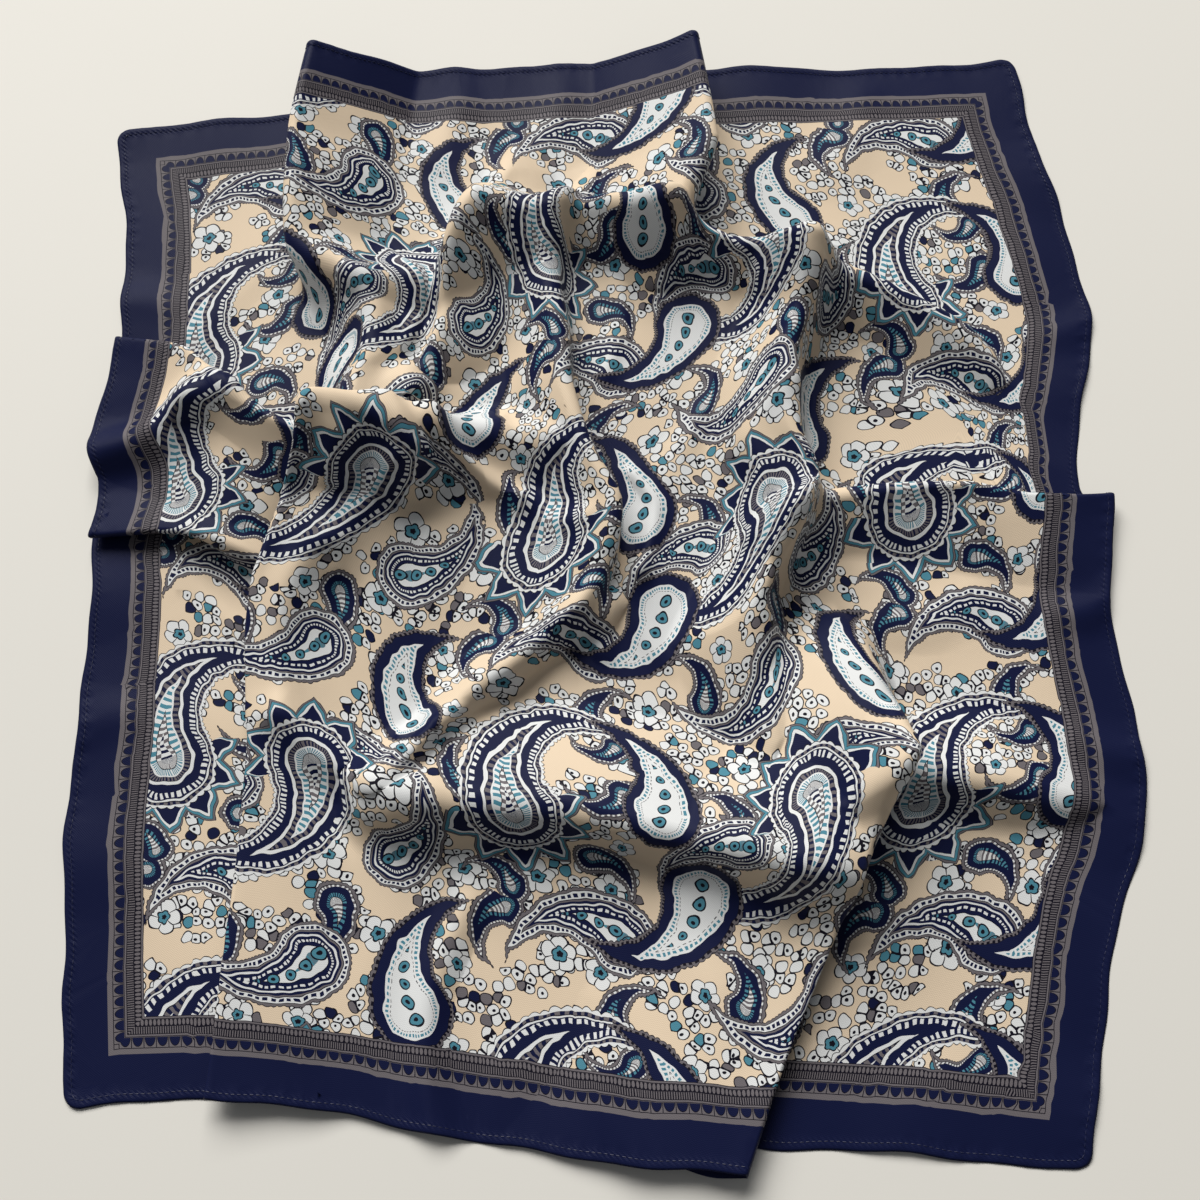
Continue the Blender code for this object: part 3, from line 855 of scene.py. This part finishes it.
def satin_material(look):
    """Printed satin twill: the border and the field's print on the flat cloth's own map."""
    made = Material("printed_satin")
    flat = made.node("ShaderNodeUVMap", {"uv_map": FLAT_MAP}).outputs[0]
    place = made.vector("MULTIPLY", flat, (SIDE_MM, SIDE_MM, 0.0))
    hand = made.noise(place, 0.14)["Color"]
    wobble = made.vector("SUBTRACT", hand, (0.5, 0.5, 0.5))
    wobble = made.vector("MULTIPLY", wobble, (look.wobble, look.wobble, 0.0))
    drawn = made.vector("ADD", place, wobble)
    drawn = made.vector("MULTIPLY", drawn, (PRINT_SHRINK, PRINT_SHRINK, 0.0))

    field = print_blossom(made, tuple(look.field_colour), drawn)
    field = print_flowers(made, field, drawn)
    for kind in ("small", "lined", "crescent", "bold"):
        field = print_paisleys(made, field, drawn, kind)
    border, inset = print_border(made, place)

    x, y, _ = made.split(place)
    twill = wave(made, x + y, look.twill_pitch)
    cross = wave(made, x * 0.31 - y, look.twill_pitch * 0.8)
    bump = made.node("ShaderNodeBump", values={
        "Strength": look.twill_strength, "Distance": 0.0002, "Height": twill + cross * 0.5})
    worn = Number(made, made.noise(place, 0.02, detail=1.0)["Fac"])
    # Painted shade: the twill's lines also darken and lighten the colour, as light and shade on
    # their ridges would, besides their bump; worn adds random tone.
    shade = twill * 0.050 + worn * 0.10 + 0.94

    folded = made.ramp(inset / 10.0, [(start, (rise,) * 3) for start, rise in HEM_SECTION])
    near = made.math("MAXIMUM", 1.0 - abs(inset - HEM_MM) / 2.2, 0.0)
    hem_height = made.split(folded)[0] + near * wave(made, x + y, PUCKER_MM) * 0.5
    hem_bump = made.node("ShaderNodeBump", values={
        "Strength": look.hem_strength, "Distance": 0.0006, "Height": hem_height,
        "Normal": bump.outputs[0]})

    def satin(shader, colour, surface):
        made.put(shader.inputs["Base Color"], made.shaded(colour, shade))
        made.put(shader.inputs["Roughness"], worn * 0.10 + (look.roughness - 0.05))
        made.put(shader.inputs["Normal"], surface.outputs[0])
        shader.inputs["Sheen Weight"].default_value = look.sheen
        shader.inputs["Sheen Roughness"].default_value = 0.3
        shader.inputs["Specular IOR Level"].default_value = look.specular
        return shader.outputs[0]

    edge_shader = made.node("ShaderNodeBsdfPrincipled")
    whole = made.node("ShaderNodeMixShader", values={
        0: inset > FIELD_EDGE, 1: satin(edge_shader, border, hem_bump),
        2: satin(made.shader, field, bump)})
    made.links.new(whole.outputs[0], made.nodes["Material Output"].inputs["Surface"])
    return made.material


def thread_material(look):
    """The hem's sewing thread: twisted, a little lighter than the border."""
    made = Material("sewing_thread")
    where = made.node("ShaderNodeTexCoord").outputs["Object"]
    x, y, z = made.split(where)
    twist = wave(made, x + y * 1.7 + z, 0.0006)
    shade = twist * 0.15 + 0.9
    made.put(made.shader.inputs["Base Color"], made.shaded(tuple(look.thread_colour), shade))
    made.put(made.shader.inputs["Roughness"], twist * 0.05 + 0.5)
    return made.material


def table_material(look):
    """A pale, matt table top with very faint clouding."""
    made = Material("pale_table")
    where = made.node("ShaderNodeTexCoord").outputs["Object"]
    cloud = made.node("ShaderNodeTexNoise", values={"Vector": where, "Scale": 3.0})
    shade = Number(made, cloud.outputs["Fac"]) * 0.03 + 0.985
    made.put(made.shader.inputs["Base Color"], made.shaded(tuple(look.table_colour), shade))
    made.put(made.shader.inputs["Roughness"], shade * 0.6)
    made.shader.inputs["Specular IOR Level"].default_value = 0.2
    return made.material


# ======== settings
def length_setting(name, description, default):
    """A length that a user can change."""
    return FloatProperty(name=name, description=description, default=default, unit="LENGTH")


def number_setting(name, description, default, **more):
    """A plain number that a user can change."""
    return FloatProperty(name=name, description=description, default=default, **more)


def colour_setting(name, description, default):
    """A colour that a user can change."""
    return FloatVectorProperty(
        name=name, description=description, default=default, subtype="COLOR")


class BANDANA_PG_cloth(bpy.types.PropertyGroup):
    """Sizes of the cloth."""
    cells: IntProperty(name="Cells", description="Grid cells along one side", default=620)
    triangles: IntProperty(
        name="Triangles", description="Triangles of the middle surface", default=96000)
    thickness: length_setting("Thickness", "Thickness of the cloth", 0.0005)
    hem_width: length_setting("Hem width", "Width of the turned hem", 0.0038)
    hem_height: length_setting("Hem height", "How far the turned hem stands proud", 0.00035)
    pucker_pitch: length_setting("Pucker pitch", "Distance between the hem's puckers", 0.0105)
    pucker_height: length_setting("Pucker height", "Height of the hem's puckers", 0.00028)
    hem_wander: length_setting("Hem wander", "How far the hems stray from their line", 0.0013)
    hem_lift: length_setting("Hem lift", "How far the hems lift off the table in places", 0.0022)
    crease_strength: number_setting("Creases", "Strength of the soft creases", 1.0)
    unevenness: length_setting("Unevenness", "Slow swelling of the loose cloth", 0.0019)


class BANDANA_PG_look(bpy.types.PropertyGroup):
    """Colours and finish."""
    field_colour: colour_setting("Field", "Ground colour of the print", PEACH)
    thread_colour: colour_setting("Thread", "Colour of the sewing thread", (0.015, 0.019, 0.068))
    table_colour: colour_setting("Table", "Colour of the table top", (0.780, 0.758, 0.705))
    wobble: number_setting("Wobble", "How unevenly the print is drawn, in mm", 2.2)
    roughness: number_setting("Roughness", "Roughness of the satin", 0.47)
    specular: number_setting("Specular", "Strength of the satin's reflection", 0.07)
    sheen: number_setting("Sheen", "Sheen of the satin", 0.015)
    twill_pitch: number_setting("Twill pitch", "Distance between the twill's lines, in mm", 1.2)
    twill_strength: number_setting("Twill strength", "Depth of the twill's lines", 0.14)
    hem_strength: number_setting("Hem strength", "Depth of the hem's stitched puckers", 0.5)


class BANDANA_PG_stitches(bpy.types.PropertyGroup):
    """Sizes of the hem's stitching."""
    pitch: length_setting("Pitch", "Distance from stitch to stitch", 0.0030)
    length: length_setting("Length", "Length of one stitch", 0.0022)
    thread: length_setting("Thread", "Radius of the thread", 0.00022)


class BANDANA_PG_stage(bpy.types.PropertyGroup):
    """Sizes of the stage."""
    camera_distance: length_setting("Camera distance", "From the lens to the cloth's middle", 0.78)
    camera_tilt: number_setting(
        "Camera tilt", "Angle of the view off the vertical", math.radians(19),
        subtype="ANGLE")
    lens: number_setting("Lens", "Focal length in mm", 42.0)
    window_place: FloatVectorProperty(
        name="Window's place", description="Middle of the soft light behind the cloth",
        default=(-2.20, 6.20, 5.40), subtype="TRANSLATION")
    window_size: FloatVectorProperty(
        name="Window's size", description="Width and height of the soft light", size=2,
        default=(7.5, 5.0), unit="LENGTH")
    window_power: number_setting("Window's power", "Power of the soft light", 1100.0)
    fill_light: number_setting("Fill", "Brightness of the room's light", 0.125)


# ======== operators
class BANDANA_OT_cloth(bpy.types.Operator):
    """Make the printed square of cloth"""
    bl_idname = "bandana.make_cloth"
    bl_label = "Make the cloth"

    def execute(self, context):
        sizes = context.scene.bandana_cloth
        points, _, _ = shaped_points(sizes, sizes.cells)
        cloth = linked("bandana_cloth", grid_mesh("bandana_cloth", points))
        thin = cloth.modifiers.new("thin", "DECIMATE")
        thin.ratio = sizes.triangles / (2 * sizes.cells ** 2)
        wall = cloth.modifiers.new("wall", "SOLIDIFY")
        wall.thickness = sizes.thickness
        wall.offset = 0.0
        made_plain(cloth)
        cloth.data.materials.append(satin_material(context.scene.bandana_look))
        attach(cloth, "root")
        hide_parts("cloth")
        return {"FINISHED"}


def stitch_tree(material, sizes):
    """A Geometry Nodes tree that lays one stitch on each point of a mesh, along its run."""
    tree = bpy.data.node_groups.new("hem_stitches", "GeometryNodeTree")
    sockets = tree.interface
    sockets.new_socket("Geometry", in_out="INPUT", socket_type="NodeSocketGeometry")
    length_in = sockets.new_socket("Length", in_out="INPUT", socket_type="NodeSocketFloat")
    thread_in = sockets.new_socket("Thread", in_out="INPUT", socket_type="NodeSocketFloat")
    sockets.new_socket("Geometry", in_out="OUTPUT", socket_type="NodeSocketGeometry")

    made = NodeTree(tree)
    given = made.node("NodeGroupInput").outputs
    half_length = Number(made, given["Length"]) * 0.5
    size = made.joined(given["Thread"], given["Thread"], half_length)
    stitch = made.node("GeometryNodeMeshUVSphere", values={
        "Segments": 6, "Rings": 4, "Radius": 1.0})
    run = made.node(
        "GeometryNodeInputNamedAttribute", {"data_type": "FLOAT_VECTOR"}, {"Name": "run"})
    turn = made.node("FunctionNodeAlignRotationToVector", {"axis": "Z"}, {
        "Vector": run.outputs["Attribute"]})
    laid = made.node("GeometryNodeInstanceOnPoints", values={
        "Points": given["Geometry"], "Instance": stitch.outputs["Mesh"],
        "Rotation": turn.outputs["Rotation"], "Scale": size})
    real = made.node("GeometryNodeRealizeInstances", values={0: laid.outputs[0]})
    dressed = made.node("GeometryNodeSetMaterial", values={
        "Geometry": real.outputs[0], "Material": material})
    made.node("NodeGroupOutput", values={0: dressed.outputs[0]})
    return tree, {length_in.identifier: sizes.length, thread_in.identifier: sizes.thread}


def stitch_points(sizes, cloth_sizes):
    """The middle of each stitch on the cloth's face, all round the hem, and its run."""
    points, _, normal = shaped_points(cloth_sizes, cloth_sizes.cells)
    reach = HALF - cloth_sizes.hem_width - STITCH_INSET
    count = int(2 * reach / sizes.pitch)
    along = ((np.arange(count) + 0.5) / count * 2 - 1) * reach
    edge = np.full(count, reach)
    sides = ((along, -edge), (edge, along), (along, edge), (-edge, along))
    u = np.concatenate([side[0] for side in sides])
    v = np.concatenate([side[1] for side in sides])
    step_u = np.repeat([1, 0, 1, 0], count) * RUN_STEP
    step_v = np.repeat([0, 1, 0, 1], count) * RUN_STEP
    run = read_surface(points, u + step_u, v + step_v)
    run -= read_surface(points, u - step_u, v - step_v)
    proud = cloth_sizes.thickness / 2 + sizes.thread * THREAD_SHOWING
    return read_surface(points, u, v) + read_surface(normal, u, v) * proud, run


class BANDANA_OT_stitches(bpy.types.Operator):
    """Make the stitches of the hem"""
    bl_idname = "bandana.make_stitches"
    bl_label = "Make the stitches"

    def execute(self, context):
        sizes = context.scene.bandana_stitches
        middle, run = stitch_points(sizes, context.scene.bandana_cloth)
        mesh = bpy.data.meshes.new("hem_stitches")
        mesh.from_pydata(middle.tolist(), [], [])
        mesh.attributes.new("run", "FLOAT_VECTOR", "POINT")
        mesh.attributes["run"].data.foreach_set("vector", run.astype(np.float32).ravel())
        piece = linked("hem_stitches", mesh)
        tree, inputs = stitch_tree(thread_material(context.scene.bandana_look), sizes)
        grow = piece.modifiers.new("stitches", "NODES")
        grow.node_group = tree
        for identifier, value in inputs.items():
            grow[identifier] = value
        made_plain(piece)
        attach(piece, "root")
        return {"FINISHED"}


def look_from(thing, place, target):
    thing.location = place
    thing.rotation_euler = (Vector(target) - Vector(place)).to_track_quat("-Z", "Y").to_euler()


class BANDANA_OT_stage(bpy.types.Operator):
    """Make the table top, the light and the camera"""
    bl_idname = "bandana.make_stage"
    bl_label = "Make the stage"

    def execute(self, context):
        stage = context.scene.bandana_stage
        look = context.scene.bandana_look
        _, shift = cloth_points(COARSE_CELLS, 0.0)
        middle = (shift[0], shift[1], 0.0)

        signs = ((-1, -1), (1, -1), (1, 1), (-1, 1))
        corners = [(x * TABLE_REACH, y * TABLE_REACH, 0.0) for x, y in signs]
        mesh = bpy.data.meshes.new("table_top")
        mesh.from_pydata(corners, [], [(0, 1, 2, 3)])
        floor = linked("table_top", mesh)
        floor.data.materials.append(table_material(look))

        window = bpy.data.lights.new("window", "AREA")
        window.shape = "RECTANGLE"
        window.size, window.size_y = stage.window_size
        window.energy = stage.window_power
        window.color = (1.0, 0.985, 0.955)
        look_from(linked("window", window), stage.window_place, middle)

        world = bpy.data.worlds.new("room")
        world.use_nodes = True
        shade = world.node_tree.nodes["Background"]
        shade.inputs["Color"].default_value = (0.93, 0.96, 1.0, 1.0)
        shade.inputs["Strength"].default_value = stage.fill_light
        context.scene.world = world
        context.scene.cycles.max_bounces = 4
        context.scene.view_settings.view_transform = "Standard"

        camera = bpy.data.cameras.new("camera")
        camera.sensor_width = 36.0
        camera.lens = stage.lens
        camera.clip_start = 0.01
        holder = linked("camera", camera)
        tilt, away = stage.camera_tilt, stage.camera_distance
        holder.location = (
            shift[0], shift[1] - away * math.sin(tilt), away * math.cos(tilt))
        holder.rotation_euler = (tilt, 0.0, 0.0)
        context.scene.camera = holder
        return {"FINISHED"}


class BANDANA_PT_panel(bpy.types.Panel):
    """Lists the bandana's settings and steps"""
    bl_label = "Bandana"
    bl_space_type = "VIEW_3D"
    bl_region_type = "UI"
    bl_category = "Bandana"

    def draw(self, context):
        for group in SETTINGS:
            settings = getattr(context.scene, group)
            for name in settings.__annotations__:
                self.layout.prop(settings, name)
        for operator in OPERATORS:
            self.layout.operator(operator.bl_idname)


SETTINGS = {
    "bandana_cloth": BANDANA_PG_cloth,
    "bandana_look": BANDANA_PG_look,
    "bandana_stitches": BANDANA_PG_stitches,
    "bandana_stage": BANDANA_PG_stage,
}
OPERATORS = (BANDANA_OT_cloth, BANDANA_OT_stitches, BANDANA_OT_stage)


def register():
    for name, group in SETTINGS.items():
        bpy.utils.register_class(group)
        setattr(bpy.types.Scene, name, PointerProperty(type=group))
    for kind in (*OPERATORS, BANDANA_PT_panel):
        bpy.utils.register_class(kind)


def unregister():
    for kind in (BANDANA_PT_panel, *reversed(OPERATORS)):
        bpy.utils.unregister_class(kind)
    for name, group in reversed(SETTINGS.items()):
        delattr(bpy.types.Scene, name)
        bpy.utils.unregister_class(group)


def main():
    register()
    bpy.ops.bandana.make_cloth()
    bpy.ops.bandana.make_stitches()
    bpy.ops.bandana.make_stage()


if __name__ == "__main__":
    main()
